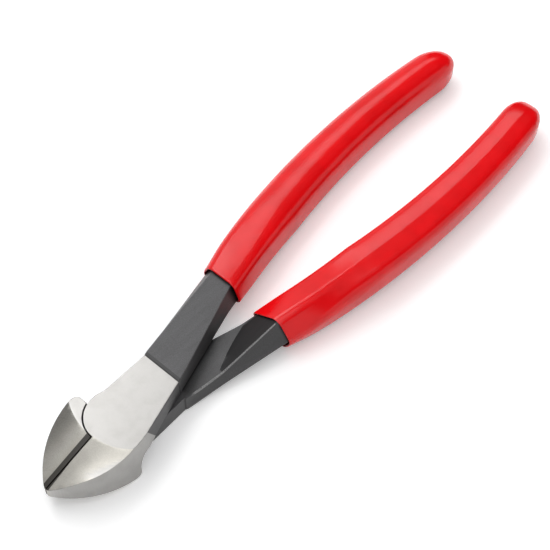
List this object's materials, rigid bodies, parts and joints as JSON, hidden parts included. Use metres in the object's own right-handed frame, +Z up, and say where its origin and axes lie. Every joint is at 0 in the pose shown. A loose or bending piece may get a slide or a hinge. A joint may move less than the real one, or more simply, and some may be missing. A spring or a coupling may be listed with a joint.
{
  "type": "diagonal cutting pliers",
  "caption": "Diagonal cutting pliers with a lap joint, ground head, blackened handles and red dipped grips, that open and close about a flush rivet.",
  "frame": {"origin": "middle of the closed tool in plan, on the surface it lies on", "axes": "+X along the tool from the handles to the nose, +Y across it, +Z up out of the surface, along the rivet"},
  "size_m": [0.1782, 0.0486, 0.0127],
  "materials": {
    "upper_steel": "satin ground head, black oxide handle",
    "lower_steel": "satin ground head, black oxide handle",
    "rivet_steel": "ground flush with the head",
    "upper_vinyl": "glossy dipped vinyl",
    "lower_vinyl": "glossy dipped vinyl"
  },
  "bodies": {
    "upper": {"upper_half": "upper_steel", "upper_grip": "upper_vinyl", "pivot_rivet": "rivet_steel"},
    "lower": {"lower_half": "lower_steel", "lower_grip": "lower_vinyl"}
  },
  "joints": [
    {"name": "jaw_hinge", "type": "hinge", "parent": "upper", "child": "lower", "pos_m": [0.06543, 0, 0.00635], "axis": [0, 0, -1], "range_deg": [0, 32]}
  ]
}
